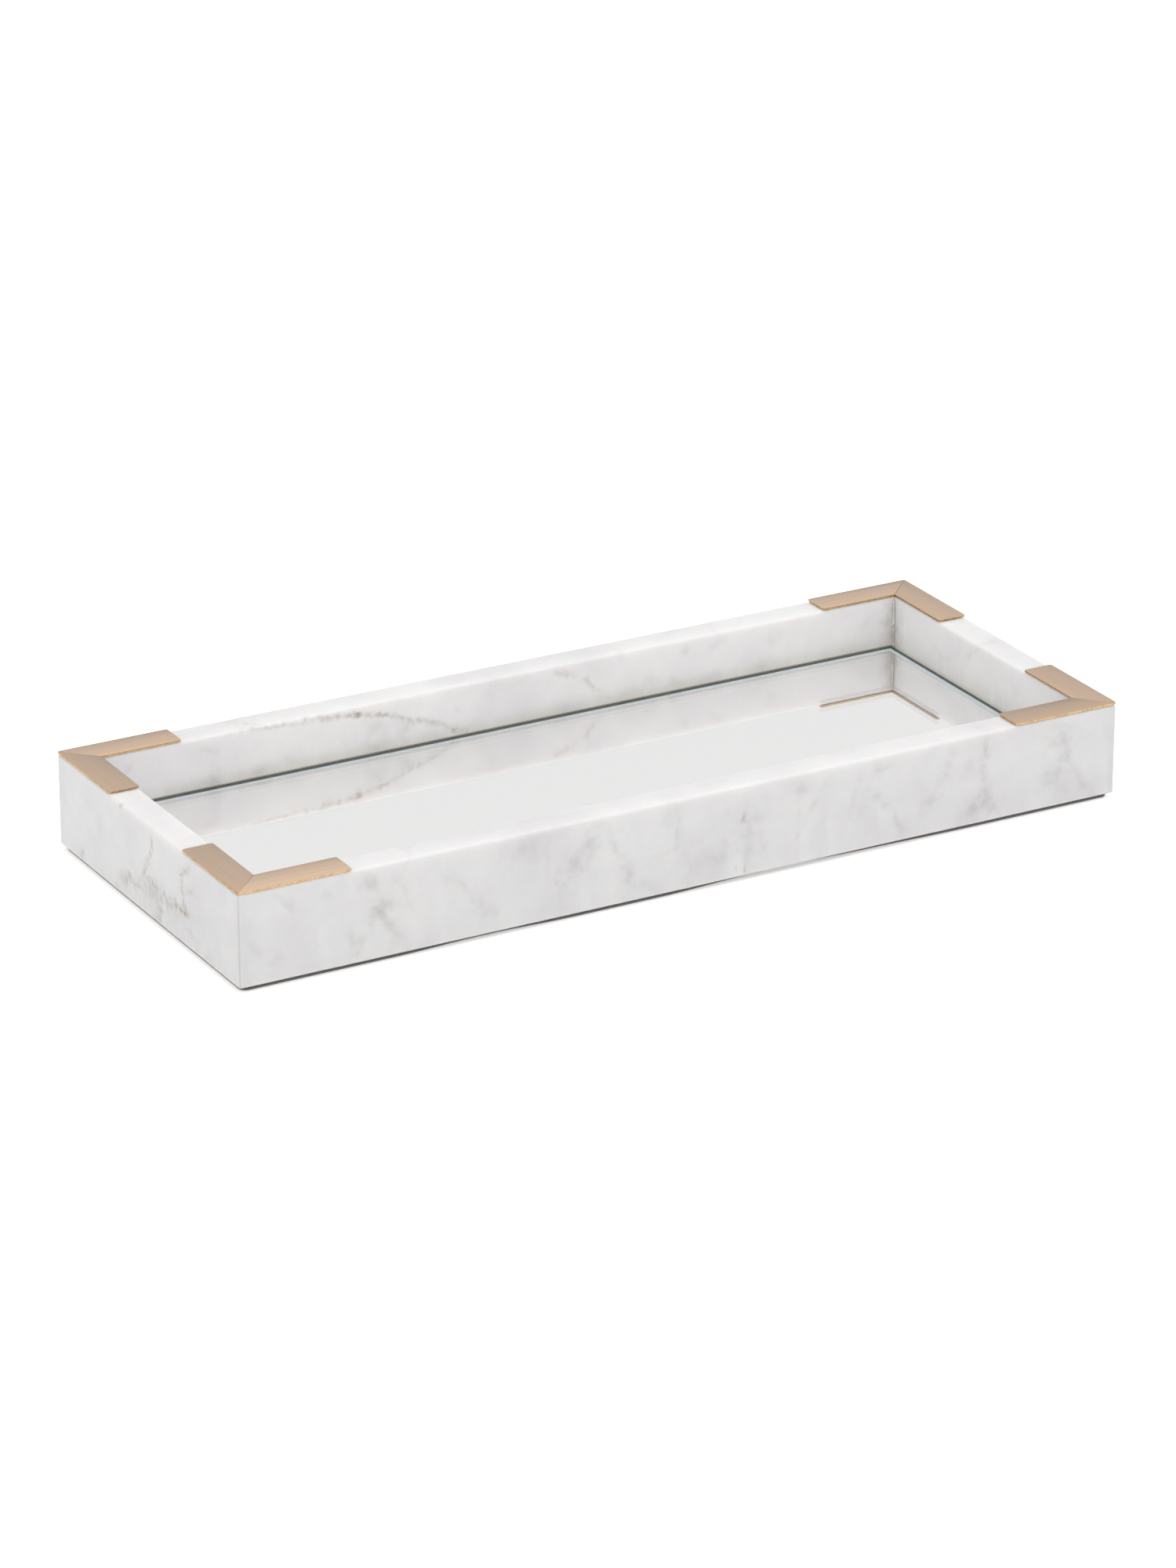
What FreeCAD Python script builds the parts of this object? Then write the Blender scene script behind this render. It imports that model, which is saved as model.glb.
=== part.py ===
import FreeCAD, Part
import os
import Sketcher

# A long, narrow vanity tray.  Four marble rails, mitred at the corners, stand round a flat board
# that carries a mirror.  Thin brass strips, two to a corner, lie on top of the rails, and felt
# covers the underside.  X runs along the tray, Y across it and Z upwards, in millimetres.  The
# origin is in the middle of the felt's lower face.

Vector = FreeCAD.Vector
Rotation = FreeCAD.Rotation

SIZES = [
    ("tray_length", 381.0, "outside length of the marble frame"),
    ("tray_width", 155.3, "outside width of the marble frame"),
    ("rail_height", 37.0, "height of a marble rail"),
    ("rail_thickness", 12.7, "half-inch marble slab"),
    ("arris_radius", 0.7, "eased long edges of the marble"),
    ("corner_radius", 1.1, "rounding of the upright outside corners"),
    ("mitre_gap", 0.3, "glue line between two mitred rails"),
    ("mitre_inset", 0.7, "how far the mitre glue stays inside the marble"),
    ("bead_radius", 1.2, "glue left standing in one inside corner"),
    ("bead_drop", 1.0, "how far that glue ends below the top of the rails"),
    ("strip_thickness", 0.8, "brass sheet of the corner strips"),
    ("strip_length", 46.5, "outside length of a corner strip"),
    ("strip_end_radius", 1.0, "rounded corners at the free end of a strip"),
    ("strip_gap", 0.1, "fine line between the two strips of a corner"),
    ("film_thickness", 0.15, "glue under the strips"),
    ("film_inset", 0.8, "how far that glue stays inside the strips"),
    ("board_thickness", 12.0, "board inside the frame"),
    ("board_gap", 0.4, "glue line between the board and the rails"),
    ("board_glue_drop", 1.5, "how far that glue ends below the top of the board"),
    ("tape_thickness", 2.0, "foam tape that holds the mirror"),
    ("tape_width", 19.0, "width of a foam tape"),
    ("tape_end_inset", 20.0, "how far a tape stops short of the mirror's end"),
    ("tape_side_inset", 12.0, "how far a tape lies inside the mirror's long side"),
    ("silver_thickness", 0.1, "silver and its backing paint"),
    ("silver_inset", 0.4, "bare glass round the silver"),
    ("glass_thickness", 3.2, "mirror glass"),
    ("glass_gap", 3.0, "open gap between the mirror and the rails"),
    ("glass_seam", 0.3, "seamed edges of the mirror"),
    ("felt_thickness", 2.0, "felt underlay"),
    ("felt_inset", 1.5, "how far the felt stays inside the marble's outline"),
    ("felt_corner_radius", 3.0, "rounded corners of the felt"),
]

DERIVED = [
    ("inner_length", "=tray_length - 2 * rail_thickness"),
    ("inner_width", "=tray_width - 2 * rail_thickness"),
    ("mitre_step", "=mitre_gap / sqrt(2)"),
    ("mitre_run", "=rail_thickness * sqrt(2)"),
    ("strip_step", "=strip_gap / sqrt(2)"),
    ("glass_length", "=inner_length - 2 * glass_gap"),
    ("glass_width", "=inner_width - 2 * glass_gap"),
    ("tape_offset", "=glass_width / 2 - tape_side_inset - tape_width / 2"),
    ("rail_top", "=felt_thickness + rail_height"),
    ("strip_bottom", "=rail_top + film_thickness"),
    ("board_top", "=felt_thickness + board_thickness"),
    ("silver_bottom", "=board_top + tape_thickness"),
    ("glass_bottom", "=silver_bottom + silver_thickness"),
]

# The corners anticlockwise from above: name, turn from the front left one, place in half sizes,
# and the sides that the corner's two strips lie on, the plain strip first.
CORNERS = [
    ("front_left", 0, -1, -1, ("front", "left")),
    ("front_right", 90, 1, -1, ("right", "front")),
    ("back_right", 180, 1, 1, ("back", "right")),
    ("back_left", 270, -1, 1, ("left", "back")),
]

# The rails: name, overall length, turn from the front rail, place in half sizes.
RAILS = [
    ("front_rail", "Sizes.tray_length", 0, 0, -1),
    ("right_rail", "Sizes.tray_width", 90, 1, 0),
    ("back_rail", "Sizes.tray_length", 180, 0, 1),
    ("left_rail", "Sizes.tray_width", 270, -1, 0),
]

EIGHTH = FreeCAD.Units.Quantity("45 deg").getValueAs("rad").Value
UP = Vector(0, 0, 1)
CLOSE = 1e-4

doc = FreeCAD.newDocument("vanity_tray")
nodes = []


def make_sheet():
    sheet = doc.addObject("Spreadsheet::Sheet", "Sizes")
    row = 0
    for alias, value, note in SIZES:
        row += 1
        sheet.set("A%d" % row, alias)
        sheet.set("B%d" % row, str(value))
        sheet.set("C%d" % row, note)
        sheet.setAlias("B%d" % row, alias)
    for alias, formula in DERIVED:
        row += 1
        sheet.set("A%d" % row, alias)
        sheet.set("B%d" % row, formula)
        sheet.setAlias("B%d" % row, alias)
    doc.recompute()
    return sheet


sheet = make_sheet()


def size(alias):
    return float(sheet.get(alias))


# ---- small tools ---------------------------------------------------------------------------

def new_body(label):
    body = doc.addObject("PartDesign::Body", label)
    body.Label = label
    nodes.append(body)
    return body


def place(body, along, across, height, turn=0, turned_over=False):
    """Ties the body's place to the sheet and turns it about Z, face down if it is turned over."""
    rotation = Rotation(UP, turn)
    if turned_over:
        rotation = rotation.multiply(Rotation(Vector(1, 0, 0), 180))
    body.Placement = FreeCAD.Placement(Vector(0, 0, 0), rotation)
    body.setExpression("Placement.Base.x", along)
    body.setExpression("Placement.Base.y", across)
    body.setExpression("Placement.Base.z", height)


def at_outline(right, back):
    """A point of the marble's outline, from its place in half lengths and half widths."""
    return "%d * Sizes.tray_length / 2" % right, "%d * Sizes.tray_width / 2" % back


def flat_sketch(body):
    """A sketch on the body's own XY plane."""
    sketch = body.newObject("Sketcher::SketchObject", body.Label + "_outline")
    plane = [item for item in body.Origin.OriginFeatures if item.Role == "XY_Plane"][0]
    sketch.AttachmentSupport = [(plane, "")]
    sketch.MapMode = "FlatFace"
    return sketch


def pad(body, sketch, length):
    feature = body.newObject("PartDesign::Pad", body.Label + "_pad")
    feature.Profile = sketch
    feature.setExpression("Length", length)
    sketch.Visibility = False
    body.Tip = feature


def dress(body, kind, target, formula, chosen):
    """Adds a fillet or a chamfer on the edges of the body's last feature that are chosen."""
    doc.recompute()
    base = body.Tip
    names = ["Edge%d" % (i + 1) for i, edge in enumerate(base.Shape.Edges) if chosen(edge.BoundBox)]
    feature = body.newObject("PartDesign::" + kind, body.Label + "_" + kind.lower())
    feature.Base = (base, names)
    feature.setExpression(target, formula)
    base.Visibility = False
    body.Tip = feature


def flat_at(box, heights):
    return any(abs(box.ZMin - z) < CLOSE and abs(box.ZMax - z) < CLOSE for z in heights)


def line(sketch, start, end):
    return sketch.addGeometry(Part.LineSegment(Vector(*start, 0), Vector(*end, 0)), False)


def arc(sketch, centre, radius, start_eighth, end_eighth):
    circle = Part.Circle(Vector(*centre, 0), UP, radius)
    return sketch.addGeometry(Part.ArcOfCircle(circle, start_eighth * EIGHTH, end_eighth * EIGHTH), False)


def hold(sketch, *rule):
    sketch.addConstraint(Sketcher.Constraint(*rule))


def drive(sketch, formula, *rule):
    """A dimension whose value comes from the sheet."""
    index = sketch.addConstraint(Sketcher.Constraint(*rule))
    sketch.setExpression("Constraints[%d]" % index, formula)


def rectangle(sketch, length, width):
    """A rectangle centred on the sketch's origin."""
    corners = [(-2, -1), (2, -1), (2, 1), (-2, 1)]
    sides = [line(sketch, corners[i], corners[(i + 1) % 4]) for i in range(4)]
    for i in range(4):
        hold(sketch, "Coincident", sides[i], 2, sides[(i + 1) % 4], 1)
        hold(sketch, ("Horizontal", "Vertical")[i % 2], sides[i])
    hold(sketch, "Symmetric", sides[0], 1, sides[2], 1, -1, 1)
    drive(sketch, length, "DistanceX", sides[0], 1, sides[0], 2, 4)
    drive(sketch, width, "DistanceY", sides[1], 1, sides[1], 2, 2)


def slab(label, length, width, thickness, height, along="0", across="0", turn=0):
    """A flat rectangular piece, placed by the middle of its lower face."""
    body = new_body(label)
    sketch = flat_sketch(body)
    rectangle(sketch, length, width)
    pad(body, sketch, thickness)
    place(body, along, across, height, turn)
    return body


# ---- marble and the glue between it ----------------------------------------------------------

def rail_outline(body, overall):
    """A rail from above: outside face on the X axis, a 45 degree mitre at each end.

    Each mitre's tip is one half of a rounded upright corner, and the next rail has the other."""
    radius = size("corner_radius")
    thick = size("rail_thickness")
    half = size(overall.split(".")[1]) / 2
    inner = half - thick - size("mitre_step")
    tip = radius * (1 - 0.5 ** 0.5)
    sketch = flat_sketch(body)
    left_tip = arc(sketch, (radius - half, radius), radius, 5, 6)
    outside = line(sketch, (radius - half, 0), (half - radius, 0))
    right_tip = arc(sketch, (half - radius, radius), radius, 6, 7)
    right_mitre = line(sketch, (half - tip, tip), (inner, thick))
    inside = line(sketch, (inner, thick), (-inner, thick))
    left_mitre = line(sketch, (-inner, thick), (tip - half, tip))
    hold(sketch, "Tangent", left_tip, 2, outside, 1)
    hold(sketch, "Tangent", outside, 2, right_tip, 1)
    hold(sketch, "Coincident", right_tip, 2, right_mitre, 1)
    hold(sketch, "Coincident", right_mitre, 2, inside, 1)
    hold(sketch, "Coincident", inside, 2, left_mitre, 1)
    hold(sketch, "Coincident", left_mitre, 2, left_tip, 1)
    hold(sketch, "PointOnObject", outside, 1, -1)
    hold(sketch, "Symmetric", outside, 1, outside, 2, -2)
    hold(sketch, "Symmetric", inside, 1, inside, 2, -2)
    hold(sketch, "Equal", left_tip, right_tip)
    hold(sketch, "Angle", right_mitre, 3 * EIGHTH)
    hold(sketch, "Angle", left_mitre, -3 * EIGHTH)
    drive(sketch, "Sizes.corner_radius", "Radius", left_tip, radius)
    drive(sketch, overall + " - 2 * Sizes.corner_radius",
          "DistanceX", outside, 1, outside, 2, 2 * (half - radius))
    drive(sketch, overall + " - 2 * (Sizes.rail_thickness + Sizes.mitre_step)",
          "DistanceX", inside, 2, inside, 1, 2 * inner)
    drive(sketch, "Sizes.rail_thickness", "DistanceY", -1, 1, inside, 1, thick)
    return sketch


def make_rail(label, overall, turn, right, back):
    body = new_body(label)
    pad(body, rail_outline(body, overall), "Sizes.rail_height")
    levels = (0, size("rail_height"))
    mitre_reach = size("rail_thickness") / 2
    dress(body, "Fillet", "Radius", "Sizes.arris_radius",
          lambda box: flat_at(box, levels) and box.YLength < mitre_reach)
    along, across = at_outline(right, back)
    place(body, along, across, "Sizes.felt_thickness", turn)


def make_mitre_glue(corner, turn, right, back):
    """The film of glue in a mitre, along the line from the outside corner to the inside one."""
    slab("mitre_glue_" + corner,
         "Sizes.mitre_run - 2 * Sizes.mitre_inset",
         "Sizes.mitre_gap",
         "Sizes.rail_height - 2 * Sizes.mitre_inset",
         "Sizes.felt_thickness + Sizes.mitre_inset",
         "%d * (Sizes.tray_length - Sizes.rail_thickness) / 2" % right,
         "%d * (Sizes.tray_width - Sizes.rail_thickness) / 2" % back,
         turn + 45)


def make_corner_bead(corner, turn, right, back):
    """Glue that was squeezed out of a mitre and stands in the inside corner, a quarter round."""
    body = new_body("glue_bead_" + corner)
    sketch = flat_sketch(body)
    radius = size("bead_radius")
    first = line(sketch, (0, 0), (radius, 0))
    front = arc(sketch, (0, 0), radius, 0, 2)
    last = line(sketch, (0, radius), (0, 0))
    hold(sketch, "Coincident", first, 1, -1, 1)
    hold(sketch, "Coincident", first, 2, front, 1)
    hold(sketch, "Coincident", front, 2, last, 1)
    hold(sketch, "Coincident", last, 2, -1, 1)
    hold(sketch, "Coincident", front, 3, -1, 1)
    hold(sketch, "Horizontal", first)
    hold(sketch, "Vertical", last)
    drive(sketch, "Sizes.bead_radius", "Radius", front, radius)
    pad(body, sketch, "Sizes.rail_top - Sizes.bead_drop - Sizes.board_top")
    place(body,
          "%d * Sizes.inner_length / 2" % right,
          "%d * Sizes.inner_width / 2" % back,
          "Sizes.board_top", turn)


# ---- brass corners ---------------------------------------------------------------------------

def strip_outline(body):
    """A strip from above: mitred at the tray's corner, square with rounded corners at the other end."""
    tip_radius = size("corner_radius")
    radius = size("strip_end_radius")
    end = size("strip_length")
    wide = size("rail_thickness")
    mitre = wide + size("strip_step")
    tip = tip_radius * (1 - 0.5 ** 0.5)
    sketch = flat_sketch(body)
    rounded_tip = arc(sketch, (tip_radius, tip_radius), tip_radius, 5, 6)
    outside = line(sketch, (tip_radius, 0), (end - radius, 0))
    outer_corner = arc(sketch, (end - radius, radius), radius, 6, 8)
    free_end = line(sketch, (end, radius), (end, wide - radius))
    inner_corner = arc(sketch, (end - radius, wide - radius), radius, 0, 2)
    inside = line(sketch, (end - radius, wide), (mitre, wide))
    mitred_end = line(sketch, (mitre, wide), (tip, tip))
    round_the_outline = [rounded_tip, outside, outer_corner, free_end, inner_corner, inside]
    for before, after in zip(round_the_outline, round_the_outline[1:]):
        hold(sketch, "Tangent", before, 2, after, 1)
    hold(sketch, "Coincident", inside, 2, mitred_end, 1)
    hold(sketch, "Coincident", mitred_end, 2, rounded_tip, 1)
    hold(sketch, "PointOnObject", outside, 1, -1)
    hold(sketch, "Horizontal", outside)
    hold(sketch, "Vertical", free_end)
    hold(sketch, "Horizontal", inside)
    hold(sketch, "Equal", outer_corner, inner_corner)
    hold(sketch, "Angle", mitred_end, -3 * EIGHTH)
    drive(sketch, "Sizes.corner_radius", "Radius", rounded_tip, tip_radius)
    drive(sketch, "Sizes.strip_end_radius", "Radius", outer_corner, radius)
    drive(sketch, "Sizes.corner_radius", "DistanceX", -1, 1, rounded_tip, 3, tip_radius)
    drive(sketch, "Sizes.strip_length", "DistanceX", -1, 1, free_end, 1, end)
    drive(sketch, "Sizes.rail_thickness + Sizes.strip_step", "DistanceX", -1, 1, inside, 2, mitre)
    drive(sketch, "Sizes.rail_thickness", "DistanceY", -1, 1, inside, 2, wide)
    return sketch


def make_strip(corner, side, turn, right, back, turned_over):
    """One strip of a corner.  The second of the pair is the same blank turned over."""
    body = new_body("%s_strip_%s" % (corner, side))
    pad(body, strip_outline(body), "Sizes.strip_thickness")
    along, across = at_outline(right, back)
    height = "Sizes.strip_bottom"
    if turned_over:
        height += " + Sizes.strip_thickness"
        turn += 90
    place(body, along, across, height, turn, turned_over)


def make_strip_film(corner, turn, right, back):
    """The L of glue under a corner's two strips."""
    body = new_body("strip_glue_" + corner)
    sketch = flat_sketch(body)
    near = size("film_inset")
    far = size("strip_length") - near
    wide = size("rail_thickness") - near
    points = [(near, near), (far, near), (far, wide), (wide, wide), (wide, far), (near, far)]
    count = len(points)
    sides = [line(sketch, points[i], points[(i + 1) % count]) for i in range(count)]
    for i in range(count):
        hold(sketch, "Coincident", sides[i], 2, sides[(i + 1) % count], 1)
        hold(sketch, ("Horizontal", "Vertical")[i % 2], sides[i])
    inset = "Sizes.film_inset"
    drive(sketch, inset, "DistanceX", -1, 1, sides[0], 1, near)
    drive(sketch, inset, "DistanceY", -1, 1, sides[0], 1, near)
    drive(sketch, "Sizes.strip_length - " + inset, "DistanceX", -1, 1, sides[0], 2, far)
    drive(sketch, "Sizes.strip_length - " + inset, "DistanceY", -1, 1, sides[4], 1, far)
    drive(sketch, "Sizes.rail_thickness - " + inset, "DistanceX", -1, 1, sides[3], 1, wide)
    drive(sketch, "Sizes.rail_thickness - " + inset, "DistanceY", -1, 1, sides[3], 1, wide)
    pad(body, sketch, "Sizes.film_thickness")
    along, across = at_outline(right, back)
    place(body, along, across, "Sizes.rail_top", turn)


# ---- board, mirror and felt ------------------------------------------------------------------

def make_board():
    slab("base_board",
         "Sizes.inner_length - 2 * Sizes.board_gap",
         "Sizes.inner_width - 2 * Sizes.board_gap",
         "Sizes.board_thickness",
         "Sizes.felt_thickness")


def make_board_glue():
    """The ring of glue between the board's edge and the rails."""
    body = new_body("board_glue")
    sketch = flat_sketch(body)
    rectangle(sketch, "Sizes.inner_length", "Sizes.inner_width")
    rectangle(sketch,
              "Sizes.inner_length - 2 * Sizes.board_gap",
              "Sizes.inner_width - 2 * Sizes.board_gap")
    pad(body, sketch, "Sizes.board_thickness - Sizes.board_glue_drop")
    place(body, "0", "0", "Sizes.felt_thickness")


def make_mirror():
    """Two foam tapes, the silver on them, and the glass with its edges seamed."""
    for label, sign in (("mirror_tape_front", "-"), ("mirror_tape_back", "")):
        slab(label, "Sizes.glass_length - 2 * Sizes.tape_end_inset", "Sizes.tape_width",
             "Sizes.tape_thickness", "Sizes.board_top", across=sign + "Sizes.tape_offset")
    slab("mirror_silver",
         "Sizes.glass_length - 2 * Sizes.silver_inset",
         "Sizes.glass_width - 2 * Sizes.silver_inset",
         "Sizes.silver_thickness",
         "Sizes.silver_bottom")
    glass = slab("mirror_glass", "Sizes.glass_length", "Sizes.glass_width",
                 "Sizes.glass_thickness", "Sizes.glass_bottom")
    levels = (0, size("glass_thickness"))
    dress(glass, "Chamfer", "Size", "Sizes.glass_seam", lambda box: flat_at(box, levels))


def make_felt():
    felt = slab("felt_underlay",
                "Sizes.tray_length - 2 * Sizes.felt_inset",
                "Sizes.tray_width - 2 * Sizes.felt_inset",
                "Sizes.felt_thickness",
                "0")
    dress(felt, "Fillet", "Radius", "Sizes.felt_corner_radius",
          lambda box: box.XLength < CLOSE and box.YLength < CLOSE)


# ---- the whole tray --------------------------------------------------------------------------

def check(item):
    state = [word for word in item.State if word in ("Invalid", "Error")]
    if state:
        raise RuntimeError("%s is %s" % (item.Name, state))


def write_all():
    doc.recompute()
    for item in doc.Objects:
        check(item)
    os.makedirs("parts", exist_ok=True)
    for body in nodes:
        shape = body.Shape
        if shape.isNull() or not shape.isValid() or len(shape.Solids) != 1:
            raise RuntimeError(body.Label + " is not one sound solid")
        shape.exportStep("parts/%s.step" % body.Label)
        print("%-28s %10.2f mm3" % (body.Label, shape.Volume))


for label, overall, turn, right, back in RAILS:
    make_rail(label, overall, turn, right, back)

for corner, turn, right, back, sides in CORNERS:
    make_mitre_glue(corner, turn, right, back)
    make_strip_film(corner, turn, right, back)
    for side in sides:
        make_strip(corner, side, turn, right, back, side != sides[0])

make_corner_bead("back_right", 180, 1, 1)
make_board()
make_board_glue()
make_mirror()
make_felt()
write_all()
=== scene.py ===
import math
from collections import namedtuple

import bmesh
import bpy
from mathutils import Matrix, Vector


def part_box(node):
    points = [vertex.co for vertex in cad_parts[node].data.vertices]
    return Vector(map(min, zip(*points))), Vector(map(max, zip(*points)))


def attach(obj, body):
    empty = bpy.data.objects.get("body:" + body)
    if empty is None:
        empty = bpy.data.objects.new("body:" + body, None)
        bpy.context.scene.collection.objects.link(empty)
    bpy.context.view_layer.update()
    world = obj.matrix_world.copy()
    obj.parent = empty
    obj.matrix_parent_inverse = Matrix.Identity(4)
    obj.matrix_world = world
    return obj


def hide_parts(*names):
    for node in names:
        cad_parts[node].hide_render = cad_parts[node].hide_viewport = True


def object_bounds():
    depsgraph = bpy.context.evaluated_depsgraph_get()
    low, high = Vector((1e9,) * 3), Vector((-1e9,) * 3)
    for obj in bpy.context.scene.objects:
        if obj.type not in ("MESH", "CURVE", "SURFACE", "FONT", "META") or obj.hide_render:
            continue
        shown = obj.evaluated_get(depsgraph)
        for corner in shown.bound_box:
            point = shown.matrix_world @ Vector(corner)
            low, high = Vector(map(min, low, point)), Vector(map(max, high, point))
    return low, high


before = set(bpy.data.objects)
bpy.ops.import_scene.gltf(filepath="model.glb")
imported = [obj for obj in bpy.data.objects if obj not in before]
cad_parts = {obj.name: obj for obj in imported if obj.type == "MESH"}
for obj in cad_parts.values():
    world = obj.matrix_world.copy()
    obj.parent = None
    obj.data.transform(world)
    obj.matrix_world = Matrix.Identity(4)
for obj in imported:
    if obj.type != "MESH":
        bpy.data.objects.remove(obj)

cad_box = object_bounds()

bl_info = {
    "name": "Marble vanity tray",
    "version": (1, 0, 0),
    "blender": (4, 5, 0),
    "location": "View3D > Sidebar > Tray",
    "description": "Dresses a marble vanity tray: mitred rails, brass corners, mirror and felt",
    "category": "Object",
}

MM = 0.001
UP = Vector((0, 0, 1))

# Sides of the tray, anticlockwise from above, with the quarter turns that bring the front rail there.
SIDES = {"front": 0, "right": 1, "back": 2, "left": 3}
CORNERS = ("front_left", "front_right", "back_right", "back_left")

# A vein as it crosses a rail: from where to where, in millimetres along the rail from its middle and up
# from the marble's foot, half its breadth, how dark it is, and how brown from 0, grey, to 1.
Vein = namedtuple("Vein", "start end breadth dark brown")

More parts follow.
